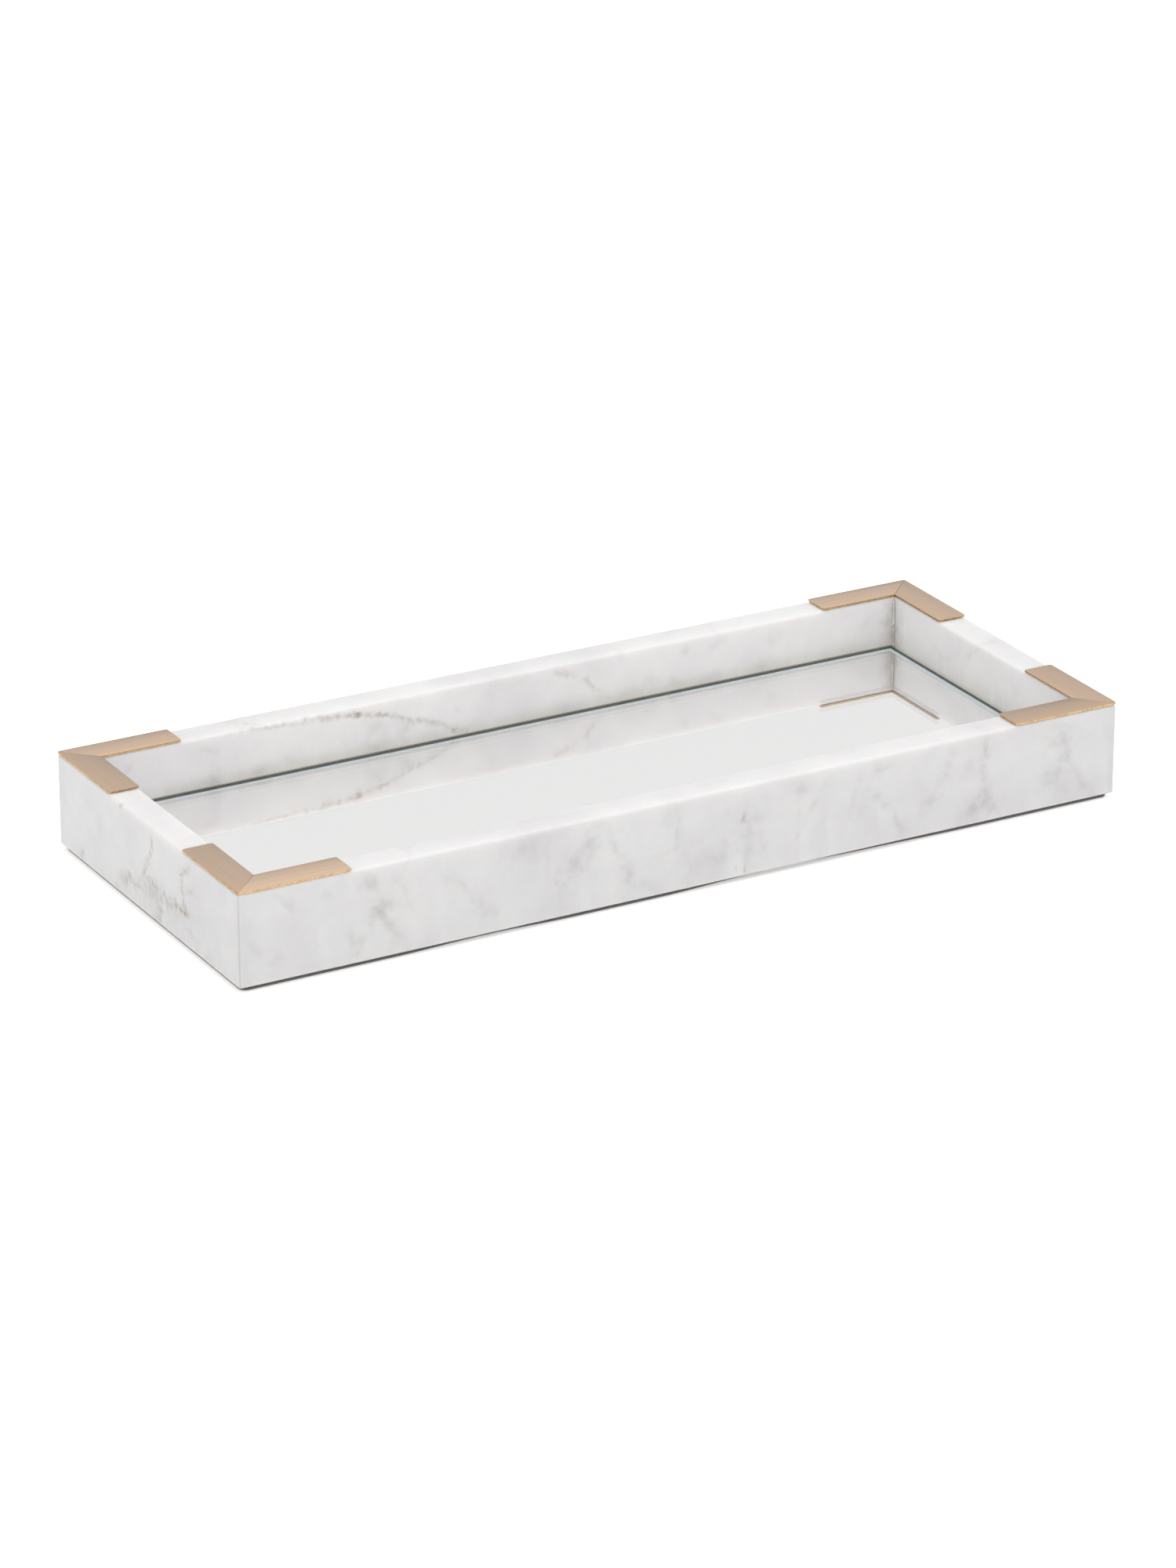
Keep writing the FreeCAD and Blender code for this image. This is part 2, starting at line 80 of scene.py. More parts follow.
# Along runs to the right for the front and back rails, and to the back for the left and right rails.
VEINS = {
    "front": [
        Vein((-188, 25), (-180, 6), 1.6, 0.20, 0.3),
        Vein((-177, 8), (-173, 9), 2.0, 0.28, 0.2),
        Vein((-171, 31), (-168, 26), 1.5, 0.20, 0.2),
        Vein((-154, 31), (-153, 28), 1.6, 0.26, 0.2),
        Vein((-139, 34), (-133, 25), 2.4, 0.44, 0.2),
        Vein((-138, 15), (-125, 23), 2.4, 0.34, 0.2),
        Vein((-135, 21), (-131, 18), 1.8, 0.44, 0.3),
        Vein((-133, 19), (-122, 1), 1.5, 0.40, 0.3),
        Vein((-146, 16), (-143, 4), 1.6, 0.30, 0.2),
        Vein((-143, 4), (-138, 11), 1.3, 0.24, 0.2),
        Vein((-126, 30), (-120, 18), 1.3, 0.24, 0.2),
        Vein((-106, 28), (-95, 19), 1.3, 0.28, 0.3),
        Vein((-96, 20), (-87, 8), 1.6, 0.28, 0.2),
        Vein((-92, 10), (-86, 9), 4.0, 0.24, 0.1),
        Vein((-72, 33), (-70, 27), 3.5, 0.26, 0.1),
        Vein((-58, 15), (-43, 27), 3.2, 0.40, 0.2),
        Vein((-49, 23), (-43, 27), 2.4, 0.36, 0.2),
        Vein((-57, 16), (-57, 3), 1.8, 0.22, 0.3),
        Vein((-37, 30), (-29, 16), 1.3, 0.34, 0.3),
        Vein((-29, 15), (-26, 8), 2.4, 0.48, 0.1),
        Vein((-27, 7), (-19, 5), 1.7, 0.36, 0.1),
        Vein((-19, 5), (-14, 0), 1.7, 0.30, 0.1),
        Vein((-18, 15), (-6, 17), 1.2, 0.22, 0.2),
        Vein((-13, 31), (-7, 32), 2.5, 0.28, 0.1),
        Vein((-7, 32), (-6, 17), 1.5, 0.32, 0.1),
        Vein((16, 27), (30, 22), 5.0, 0.22, 0.1),
        Vein((21, 22), (22, 25), 0.7, 0.95, 0.4),
        Vein((24, 20), (23, 0), 2.3, 0.30, 0.1),
        Vein((9, 10), (16, 14), 3.2, 0.28, 0.1),
        Vein((18.3, 2), (18.6, 4), 0.5, 0.60, 0.3),
        Vein((22.4, 0), (22.6, 3), 0.5, 0.80, 0.3),
        Vein((28, 18), (33, 3), 1.4, 0.22, 0.1),
        Vein((45, 31), (50, 29), 2.4, 0.36, 0.2),
        Vein((47, 14), (57, 29), 1.2, 0.30, 0.2),
        Vein((46, 30), (46, 0), 1.0, 0.20, 0.1),
        Vein((68, 14), (75, 33), 1.2, 0.20, 0.1),
        Vein((80, 34), (84, 29), 1.5, 0.40, 0.2),
        Vein((84, 29), (88, 34), 1.3, 0.30, 0.2),
        Vein((76, 25), (86, 16), 1.4, 0.34, 0.2),
        Vein((86, 16), (94, 2), 1.3, 0.36, 0.2),
        Vein((102, 10), (111, 22), 2.0, 0.34, 0.2),
        Vein((111, 22), (115, 34), 1.7, 0.30, 0.2),
        Vein((119, 22), (124, 25), 2.5, 0.28, 0.1),
        Vein((131, 36), (129, 23), 1.9, 0.42, 0.5),
        Vein((129, 23), (130, 13), 1.7, 0.34, 0.4),
        Vein((130, 13), (135, 2), 1.9, 0.34, 0.3),
        Vein((118, 1), (134, 11), 3.4, 0.32, 0.2),
        Vein((124, 8), (128, 7), 2.8, 0.34, 0.1),
        Vein((158, 31), (171, 29), 4.5, 0.30, 0.1),
        Vein((165, 28), (169, 16), 2.6, 0.42, 0.1),
        Vein((168, 17), (155, 9), 2.6, 0.28, 0.1),
        Vein((169, 16), (180, 1), 1.8, 0.36, 0.1),
        Vein((163, 12), (167, 1), 4.0, 0.22, 0.1),
    ],
    "left": [
        Vein((14, 9), (23, 6), 2.6, 0.62, 0.8),
        Vein((13, 10), (16, 8), 1.2, 0.80, 0.9),
        Vein((11, 8.3), (4, 8.3), 1.0, 0.60, 1.0),
        Vein((4, 10), (-14, 12), 4.6, 0.34, 0.8),
        Vein((0, 14), (-11, 15), 1.4, 0.50, 0.9),
        Vein((-12, 12), (-28, 11), 3.0, 0.44, 0.8),
        Vein((-24, 13), (-36, 14), 1.8, 0.70, 1.0),
        Vein((-31, 13.6), (-34, 13.2), 1.0, 0.80, 1.0),
        Vein((-5, 34), (-5, 26), 1.2, 0.46, 0.9),
        Vein((-5, 27), (0, 20), 1.4, 0.48, 0.9),
        Vein((0, 21), (4, 12), 1.2, 0.40, 0.9),
        Vein((-37, 33), (-30, 27), 1.6, 0.50, 1.0),
        Vein((-30, 27), (-31, 19), 1.3, 0.50, 1.0),
        Vein((-31, 19), (-34, 13), 1.3, 0.60, 1.0),
        Vein((-34, 22.5), (-41, 23.5), 1.8, 0.44, 0.7),
        Vein((-12, 10), (-12, 3), 1.4, 0.40, 0.9),
        Vein((-12, 4), (-5, -1), 1.4, 0.54, 1.0),
        Vein((-26, 11), (-46, 2), 1.8, 0.24, 0.3),
        Vein((57, 5), (57.6, -1), 1.6, 0.44, 0.8),
        Vein((27, 3), (26, -1), 1.2, 0.30, 0.8),
        Vein((20, 35.6), (22.6, 35.8), 0.7, 0.80, 1.0),
        Vein((39, 21), (33, 19), 3.4, 0.18, 0.2),
        Vein((55, 28), (50, 25), 2.6, 0.14, 0.2),
        # The next two are broad grey clouds: partly the stone's grey shading round the brown vein, partly
        # painted shade that darkens the lower middle of this face.
        Vein((-34, 7), (24, 7), 6.0, 0.16, 0.2),
        Vein((-16, 8), (4, 10), 5.0, 0.22, 0.3),
    ],
    "back": [
        Vein((-137, 33), (-130, 31), 1.3, 0.40, 0.4),
        Vein((-168, 32), (-165, 31), 1.3, 0.30, 0.2),
        Vein((-120, 35.8), (-90, 35.3), 0.9, 0.36, 0.9),
        Vein((-92, 35.4), (-66, 33), 1.0, 0.50, 0.9),
        Vein((-71, 33.3), (-66, 32.8), 0.9, 0.50, 1.0),
        Vein((-67, 33), (-53, 30.5), 0.9, 0.50, 0.9),
        Vein((-55, 31), (-42, 25), 1.0, 0.50, 0.8),
        Vein((-44, 26), (-30, 22), 1.1, 0.48, 0.7),
        Vein((-31, 22.4), (-20, 17), 1.2, 0.60, 0.6),
        Vein((-63, 27), (-57, 26), 2.6, 0.30, 0.2),
        Vein((-50, 22.5), (-45, 23.5), 1.8, 0.38, 0.3),
        Vein((-26, 27), (-22, 26), 1.4, 0.24, 0.2),
        Vein((-134, 18), (-127, 18.5), 2.6, 0.34, 0.3),
        Vein((-115, 18), (-108, 18.5), 2.6, 0.32, 0.3),
        Vein((-100, 21), (-95, 20.5), 2.0, 0.24, 0.2),
        Vein((-62, 18), (-56, 18.5), 2.2, 0.32, 0.2),
        Vein((17, 35), (32, 30), 1.3, 0.34, 0.6),
        Vein((31, 30), (41, 21), 1.4, 0.38, 0.5),
        Vein((49, 37), (51, 34), 1.4, 0.20, 0.2),
        Vein((59, 23), (66, 22), 2.0, 0.24, 0.1),
        Vein((78, 33), (80, 32), 2.0, 0.32, 0.1),
        Vein((71, 18), (77, 18.5), 2.4, 0.34, 0.3),
        Vein((53, 18), (59, 18.5), 2.2, 0.28, 0.3),
        Vein((112, 18), (118, 18.5), 3.0, 0.26, 0.3),
        Vein((89, 29), (98, 35), 1.3, 0.20, 0.1),
        Vein((118, 30), (124, 30.5), 2.2, 0.22, 0.1),
        Vein((162, 24), (168, 31), 1.8, 0.18, 0.1),
        # Painted shade in the back right inside corner, drawn as a broad upright vein.
        Vein((176.8, 12), (176.8, 40), 3.0, 0.55, 0.35),
    ],
    "right": [
        Vein((1, 37), (12, 27.5), 1.2, 0.26, 0.2),
        Vein((-30, 18), (-24, 30), 2.4, 0.16, 0.1),
        # Painted shade in the back right inside corner, drawn as a broad upright vein.
        Vein((64.2, 12), (64.2, 40), 3.0, 0.55, 0.35),
    ],
}


# ---- settings --------------------------------------------------------------------------------

def colour(name, description, default):
    return bpy.props.FloatVectorProperty(
        name=name, description=description, default=default, subtype="COLOR", size=3, min=0, max=1)


def distance(name, description, default):
    return bpy.props.FloatProperty(
        name=name, description=description, default=default, unit="LENGTH", subtype="DISTANCE", precision=5)


def share(name, description, default):
    return bpy.props.FloatProperty(
        name=name, description=description, default=default, min=0, max=1, subtype="FACTOR")


def bright(name, description, default):
    return bpy.props.FloatProperty(name=name, description=description, default=default, precision=3)


class TrayMarble(bpy.types.PropertyGroup):
    white: colour("Stone", "Ground colour of the marble", (0.835, 0.830, 0.824))
    cloud: colour("Clouds", "Pale grey clouding in the stone", (0.70, 0.68, 0.70))
    grey: colour("Grey vein", "Colour of the cool veins", (0.46, 0.45, 0.46))
    brown: colour("Brown vein", "Colour of the rusty veins", (0.29, 0.20, 0.09))
    # A warm brown-orange tint, used for the line along the marble's foot and for glue soaked in beside the
    # mitres.
    warm_tint: colour("Rust", "Colour of the stain along the marble's foot", (0.62, 0.44, 0.28))
    glow: share("Glow", "How much light passes under the surface", 1.0)
    depth: distance("Depth", "How far that light travels", 3.4 * MM)
    arris: distance("Arris", "Width of the eased upper edges", 1.2 * MM)
    foot_arris: distance("Foot", "Width of the eased lower edges", 0.35 * MM)
    corner: distance("Corner", "Rounding of the upright corners", 1.1 * MM)
    joint: distance("Joint", "Glue line between two rails", 0.05 * MM)
    chips: distance("Chips", "Depth of the small chips along the edges", 0.25 * MM)
    polish: share("Roughness", "Roughness of the honed stone", 0.34)


class TrayBrass(bpy.types.PropertyGroup):
    face: colour("Face", "Colour of the brushed face", (0.66, 0.49, 0.36))
    edge: colour("Cut edge", "Colour of the bright cut edge", (0.66, 0.42, 0.19))
    tip: distance("Tip", "Rounding of the outside corner", 1.1 * MM)
    free_end: distance("Free end", "Rounding of the free end's corners", 1.0 * MM)
    gap: distance("Mitre", "Line between the two strips of a corner", 0.1 * MM)
    burr: distance("Edge", "Width of the softened rim", 0.12 * MM)
    roughness: share("Roughness", "Roughness of the brushed face", 0.36)


class TrayMirror(bpy.types.PropertyGroup):
    glass: colour("Glass", "Tint of the clear glass", (0.992, 0.996, 0.992))
    silver: colour("Silver", "Colour of the silver", (0.995, 0.985, 0.985))
    edge: colour("Ground edge", "Colour of the ground edge of the glass", (0.075, 0.135, 0.12))
    painted_edge_glow: bright("Edge shine", "Light that comes out of the ground edge", 0.36)
    bare: colour("Bare rim", "Colour of the glass past the silver", (0.85, 0.93, 0.95))
    dim: distance("Dim rim", "How far the ground edge darkens the bare rim", 0.4 * MM)
    rim: distance("Rim", "How far the silver stops short of that", 1.9 * MM)
    # The colour of the brown line along the top of the glass and of the darker band on the wall beside it.
    brown_line: colour("Dirt", "Colour of the line where the glass meets the wall", (0.42, 0.34, 0.19))
    seam: distance("Seam", "Width of the seamed edge", 0.3 * MM)
    lift: distance("Silver", "Thickness of the silver itself, over its paint", 0.03 * MM)


class TrayStage(bpy.types.PropertyGroup):
    turn: bpy.props.FloatProperty(
        name="Turn", description="How far the camera stands to the left", default=math.radians(29.38),
        subtype="ANGLE", unit="ROTATION")
    height: bpy.props.FloatProperty(
        name="Height", description="How steeply the camera looks down", default=math.radians(22.57),
        subtype="ANGLE", unit="ROTATION")
    range: distance("Range", "From the camera to what it looks at", 2.338)
    lens: bpy.props.FloatProperty(name="Lens", description="Focal length", default=138.5, unit="CAMERA")
    horizon: bright("Horizon", "Brightness of the surroundings", 0.724)
    zenith: bright("Zenith", "Brightness overhead", 1.24)
    right: bright("Right", "What is added on the right and taken away on the left", 0.05)
    back: bright("Back", "What is added at the back and taken away in front", -0.128)
    below: bright("Below", "Brightness that the floor gives back to the tray", 0.742)


def settings(name):
    return getattr(bpy.context.scene, name)


# ---- modelling helpers -----------------------------------------------------------------------

def box_of(node):
    low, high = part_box(node)
    return Vector(low), Vector(high)


def deselect():
    bpy.ops.object.select_all(action="DESELECT")


def only(piece):
    deselect()
    piece.select_set(True)
    bpy.context.view_layer.objects.active = piece


def settle(piece):
    """Puts a piece's turn, size and place into its mesh."""
    only(piece)
    bpy.ops.object.transform_apply(location=True, rotation=True, scale=True)


def block(name, low, high):
    """A cube stretched from one corner to the other, left in edit mode."""
    deselect()
    bpy.ops.mesh.primitive_cube_add(size=1, location=(low + high) / 2)
    piece = bpy.context.active_object
    piece.name = name
    piece.data.name = name
    piece.scale = high - low
    settle(piece)
    bpy.ops.object.mode_set(mode="EDIT")
    return piece


def pick(piece, kind, test):
    """In edit mode, selects the edges or faces that pass the test and nothing else."""
    bpy.ops.mesh.select_mode(type=kind)
    bpy.ops.mesh.select_all(action="DESELECT")
    mesh = bmesh.from_edit_mesh(piece.data)
    mesh.normal_update()
    items = mesh.edges if kind == "EDGE" else mesh.faces
    found = [item for item in items if test(item)]
    for item in found:
        item.select_set(True)
    bmesh.update_edit_mesh(piece.data)
    if not found:
        raise RuntimeError(piece.name + ": nothing to pick")


def round_edges(piece, test, width, segments):
    pick(piece, "EDGE", test)
    bpy.ops.mesh.bevel(offset=width, offset_type="OFFSET", segments=segments, affect="EDGES",
                       clamp_overlap=False)


def cut_away(place, normal):
    """Removes all that lies past a plane and closes the cut."""
    bpy.ops.mesh.select_all(action="SELECT")
    bpy.ops.mesh.bisect(plane_co=place, plane_no=normal, use_fill=True, clear_outer=True)


def direction(edge):
    first, last = edge.verts
    return (last.co - first.co).normalized()


def upright(edge):
    return abs(direction(edge).z) > 0.99


def leave_edit():
    bpy.ops.object.mode_set(mode="OBJECT")


def smooth(piece, degrees=30):
    only(piece)
    bpy.ops.object.shade_smooth_by_angle(angle=math.radians(degrees))


def displace(piece, name, grain, strength, level, group=""):
    """Pushes a piece's surface in and out by cloudy noise."""
    texture = bpy.data.textures.new(piece.name + "_" + name, "CLOUDS")
    texture.noise_scale = grain
    texture.noise_depth = 2
    modifier = piece.modifiers.new(name, "DISPLACE")
    modifier.texture = texture
    modifier.texture_coords = "LOCAL"
    modifier.vertex_group = group
    modifier.mid_level = level
    modifier.strength = strength
    only(piece)
    bpy.ops.object.modifier_apply(modifier=modifier.name)


def quarter_turns(piece, turns):
    """Turns a piece about the middle of the tray."""
    only(piece)
    piece.rotation_euler.z = turns * math.pi / 2
    bpy.ops.object.transform_apply(location=False, rotation=True, scale=False)


def adopt(piece, slot, *nodes):
    """The piece rides on the tray and stands for its nodes, which it hides."""
    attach(piece, "root")
    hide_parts(*nodes)


def dress(thing, *materials):
    thing.data.materials.clear()
    for material in materials:
        thing.data.materials.append(material)


def node_object(name):
    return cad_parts[name]


def is_long(side):
    return side in ("front", "back")


def outline():
    """Half the marble's length and width."""
    high = Vector(cad_box[1])
    return high.x, high.y


# ---- material helpers ------------------------------------------------------------------------

def add(tree, kind, inputs=None, **options):
    """A node with its options set and its inputs given values or links."""
    made = tree.nodes.new(kind)
    for key, value in options.items():
        setattr(made, key, value)
    for key, value in (inputs or {}).items():
        if isinstance(value, bpy.types.NodeSocket):
            tree.links.new(value, made.inputs[key])
        else:
            made.inputs[key].default_value = value
    return made


def start_material(name, **values):
    material = bpy.data.materials.new(name)
    material.use_nodes = True
    shader = material.node_tree.nodes["Principled BSDF"]
    for key, value in values.items():
        shader.inputs[key.replace("_", " ")].default_value = value
    return material, material.node_tree, shader


def rgba(three):
    return (*three, 1)


def object_point(tree):
    return add(tree, "ShaderNodeTexCoord").outputs["Object"]


def component(tree, point, axis):
    return add(tree, "ShaderNodeSeparateXYZ", {"Vector": point}).outputs[axis]


def noise_node(tree, point, scale, detail=3.0, roughness=0.5, distortion=0.0):
    inputs = {"Vector": point, "Scale": scale, "Detail": detail, "Roughness": roughness,
              "Distortion": distortion}
    return add(tree, "ShaderNodeTexNoise", inputs)


def noise(tree, point, scale, **options):
    """Noise between 0 and 1."""
    return noise_node(tree, point, scale, **options).outputs["Fac"]


def spread(tree, value, low, high, to_low=0.0, to_high=1.0, kind="SMOOTHSTEP"):
    inputs = {"Value": value, "From Min": low, "From Max": high, "To Min": to_low, "To Max": to_high}
    return add(tree, "ShaderNodeMapRange", inputs, interpolation_type=kind).outputs["Result"]


def maths(tree, operation, first, second=0.0):
    return add(tree, "ShaderNodeMath", {0: first, 1: second}, operation=operation).outputs[0]


def mix(tree, share_of_second, first, second):
    made = add(tree, "ShaderNodeMix", data_type="RGBA")
    sockets = {0: share_of_second, 6: first, 7: second}
    for index, value in sockets.items():
        if isinstance(value, bpy.types.NodeSocket):
            tree.links.new(value, made.inputs[index])
        else:
            made.inputs[index].default_value = value
    return made.outputs[2]


def stretch(tree, point, scale, rotation=(0, 0, 0), location=(0, 0, 0), kind="POINT"):
    inputs = {"Vector": point, "Scale": scale, "Rotation": rotation, "Location": location}
    return add(tree, "ShaderNodeMapping", inputs, vector_type=kind).outputs["Vector"]


def bump(tree, shader, height, distance_m, strength=1.0):
    made = add(tree, "ShaderNodeBump", {"Height": height, "Distance": distance_m, "Strength": strength})
    tree.links.new(made.outputs["Normal"], shader.inputs["Normal"])


def paint(tree, shader, pattern, low, high, first, second):
    """Colours a material from the first tone to the second as a pattern rises from low to high."""
    tone = mix(tree, spread(tree, pattern, low, high), first, second)
    tree.links.new(tone, shader.inputs["Base Color"])


# ---- marble ----------------------------------------------------------------------------------

# A vein has faded out at this many times its half length and half breadth.
VEIN_REACH = 1.7

# Grey veins are smudged and rusty ones lacy: what each kind's breadth and strength are multiplied by, and
# how finely and how deeply its rim is torn.
VeinKind = namedtuple("VeinKind", "breadth strength tearing depth")
GREY_VEIN = VeinKind(1.5, 0.64, 230.0, 0.55)
RUSTY_VEIN = VeinKind(1.2, 0.74, 420.0, 0.62)

# A vein browner than this is a rusty one.
RUSTY_ABOVE = 0.45

# A brown-orange line along the foot of a rail: up to what height it reaches, from what height down it is
# strongest, and how strong that is.
FOOT_LINE_TOP = 0.7 * MM
FOOT_LINE_FULL = 0.1 * MM
FOOT_LINE_SHARE = 0.6

# A darker brown band on the wall beside the glass: how far below the top of the glass it begins and is
# thickest, and how thick that is on the long and the short sides.
GAP_BAND_BEGINS = 0.8 * MM
GAP_BAND_FULL = 1.5 * MM
GAP_BAND_ON_LONG_SIDES = 0.85
GAP_BAND_ON_SHORT_SIDES = 0.15

# Glue that has soaked into the stone beside a mitre: how far it reaches and how much it tints.
SOAKED_REACH = 0.8 * MM
SOAKED_TINT = 0.22

# Under the surface, light stops this near to a mitre and passes freely from this far on.
LIGHT_STOPS = 0.5 * MM
LIGHT_PASSES = 3 * MM


def kind_of(vein):
    return RUSTY_VEIN if vein.brown > RUSTY_ABOVE else GREY_VEIN


def bent_point(tree, point, wavelength, shift):
    """Object coordinates pushed about by noise, so that veins wander."""
    wander = noise_node(tree, point, 1 / wavelength, detail=4.0, roughness=0.6)
    centred = add(tree, "ShaderNodeVectorMath", {0: wander.outputs["Color"], 1: (0.5, 0.5, 0.5)},
                  operation="SUBTRACT")
    scaled = add(tree, "ShaderNodeVectorMath", {0: centred.outputs[0], "Scale": shift}, operation="SCALE")
    return add(tree, "ShaderNodeVectorMath", {0: point, 1: scaled.outputs[0]}, operation="ADD").outputs[0]


def vein_share(tree, point, side, vein, shreds):
    """How strongly a vein shows at a point: a long spot with a torn rim, darkest in its middle."""
    foot = box_of("front_rail")[0].z
    start = Vector(vein.start) * MM
    end = Vector(vein.end) * MM
    middle = (start + end) / 2
    slant = math.atan2(end.y - start.y, end.x - start.x)
    breadth = kind_of(vein).breadth * vein.breadth * MM
    reach = 0.5 * (end - start).length + breadth / 2
    through = 1.0
    if is_long(side):
        local = stretch(tree, point, (reach, through, breadth), (0, -slant, 0),
                        (middle.x, 0, foot + middle.y), "TEXTURE")
    else:
        local = stretch(tree, point, (through, reach, breadth), (slant, 0, 0),
                        (0, middle.x, foot + middle.y), "TEXTURE")
    away = add(tree, "ShaderNodeVectorMath", {0: local}, operation="LENGTH").outputs["Value"]
    nearness = spread(tree, maths(tree, "ADD", away, shreds), VEIN_REACH, 0.0, 0.0, 1.0, "LINEAR")
    fading = maths(tree, "POWER", nearness, 2.0)
    return maths(tree, "MULTIPLY", fading, kind_of(vein).strength * vein.dark)


def torn(tree, point, kind):
    """What tears a vein's rim, as a share of its reach."""
    shreds = noise(tree, point, kind.tearing, detail=3.0, roughness=0.55)
    return spread(tree, shreds, 0.3, 0.7, -kind.depth, kind.depth, "LINEAR")


def hairlines(tree, point):
    """Faint wandering lines, upright more than level, that come and go."""
    drawn_out = stretch(tree, point, (34.0, 34.0, 20.0))
    field = noise(tree, drawn_out, 1.0, detail=4.0, roughness=0.5)
    ridge = maths(tree, "ABSOLUTE", maths(tree, "SUBTRACT", field, 0.5))
    lines = spread(tree, ridge, 0.05, 0.0)
    shown = noise(tree, point, 42.0, detail=2.0)
    return maths(tree, "MULTIPLY", lines, spread(tree, shown, 0.45, 0.7, 0.0, 0.4))


def gap_band_share(tree, point, height, side):
    """A darker brown band on the inner wall, in the gap round the glass."""
    level = box_of("mirror_glass")[1].z
    axis = "Y" if is_long(side) else "X"
    inner = -box_of("front_rail")[1].y if is_long(side) else box_of("right_rail")[0].x
    most = GAP_BAND_ON_LONG_SIDES if is_long(side) else GAP_BAND_ON_SHORT_SIDES
    from_middle = maths(tree, "ABSOLUTE", component(tree, point, axis))
    inside = maths(tree, "LESS_THAN", from_middle, inner + 0.5 * MM)
    low = spread(tree, height, level - GAP_BAND_BEGINS, level - GAP_BAND_FULL, 0.0, most)
    return maths(tree, "MULTIPLY", inside, low)


def from_mitre(tree, point):
    """How far a point is from the nearest mitre, measured along the rail."""
    half_length, half_width = outline()
    along = maths(tree, "ABSOLUTE", component(tree, point, "X"))
    across = maths(tree, "ABSOLUTE", component(tree, point, "Y"))
    past = maths(tree, "SUBTRACT", maths(tree, "SUBTRACT", along, across), half_length - half_width)
    return maths(tree, "ABSOLUTE", past)


def ground_stone(tree, point, bent):
    """The pale stone with its clouds and hairlines."""
    choice = settings("tray_marble")
    mottling = noise(tree, point, 45.0, detail=6.0, roughness=0.78)
    clouds = noise(tree, bent, 22.0, detail=3.0, roughness=0.5)
    pale = maths(tree, "ADD", spread(tree, mottling, 0.3, 0.7, 0.0, 0.42, "LINEAR"),
                 spread(tree, clouds, 0.45, 0.75, 0.0, 0.3))
    ground = mix(tree, pale, rgba(choice.white), rgba(choice.cloud))
    return mix(tree, hairlines(tree, bent), ground, rgba(choice.cloud))


def veined(tree, point, bent, side, stone):
    """The stone with this rail's veins over it."""
    choice = settings("tray_marble")
    shreds = {kind: torn(tree, point, kind) for kind in (GREY_VEIN, RUSTY_VEIN)}
    for vein in VEINS[side]:
        tint = Vector(choice.grey).lerp(Vector(choice.brown), vein.brown)
        shown = vein_share(tree, bent, side, vein, shreds[kind_of(vein)])
        stone = mix(tree, shown, stone, rgba(tint))
    return stone


def tinted_foot_and_gap(tree, point, side, stone):
    """The stone with a brown-orange line along its foot and a darker brown band beside the glass."""
    foot = box_of("front_rail")[0].z
    height = component(tree, point, "Z")
    warm_tint = spread(tree, height, foot + FOOT_LINE_TOP, foot + FOOT_LINE_FULL, 0.0, FOOT_LINE_SHARE)
    foot_tinted = mix(tree, warm_tint, stone, rgba(settings("tray_marble").warm_tint))
    return mix(tree, gap_band_share(tree, point, height, side), foot_tinted, rgba(settings("tray_mirror").brown_line))


def marble_material(side):
    choice = settings("tray_marble")
    material, tree, shader = start_material(
        "honed_marble_" + side, Roughness=choice.polish, IOR=1.5,
        Subsurface_Radius=(1.0, 0.88, 0.74), Subsurface_Scale=choice.depth)
    point = object_point(tree)
    bent = bent_point(tree, point, 9 * MM, 4 * MM)
    stone = veined(tree, point, bent, side, ground_stone(tree, point, bent))
    stone = tinted_foot_and_gap(tree, point, side, stone)
    off_mitre = from_mitre(tree, point)
    soaked = spread(tree, off_mitre, SOAKED_REACH, 0.0, 0.0, SOAKED_TINT)
    tree.links.new(mix(tree, soaked, stone, rgba(choice.warm_tint)), shader.inputs["Base Color"])
    tree.links.new(spread(tree, off_mitre, LIGHT_STOPS, LIGHT_PASSES, 0.0, choice.glow),
                   shader.inputs["Subsurface Weight"])
    grain = noise(tree, point, 1800.0, detail=3.0)
    bump(tree, shader, grain, 0.02 * MM, 0.25)
    return material


def is_mitre(face):
    return face.normal.y > 0.5 and abs(face.normal.x) > 0.5


def is_flat_face(face):
    return abs(face.normal.z) > 0.99


def on_arris(edge):
    """An edge between a level face and an upright one that isn't a mitre."""
    faces = list(edge.link_faces)
    level = [is_flat_face(face) for face in faces]
    return any(level) and not all(level) and not any(map(is_mitre, faces))


def roughen_arris(piece, depth, flat_width):
    """Tiny chips along the eased edges, which leave the flat faces alone."""
    group = piece.vertex_groups.new(name="arris")
    mesh = piece.data
    flat = set()
    for polygon in mesh.polygons:
        if polygon.area > flat_width ** 2:
            flat.update(polygon.vertices)
    group.add([vertex.index for vertex in mesh.vertices if vertex.index not in flat], 1.0, "REPLACE")
    displace(piece, "chips", grain=2.5 * MM, strength=-depth, level=0.35, group=group.name)
    piece.vertex_groups.clear()


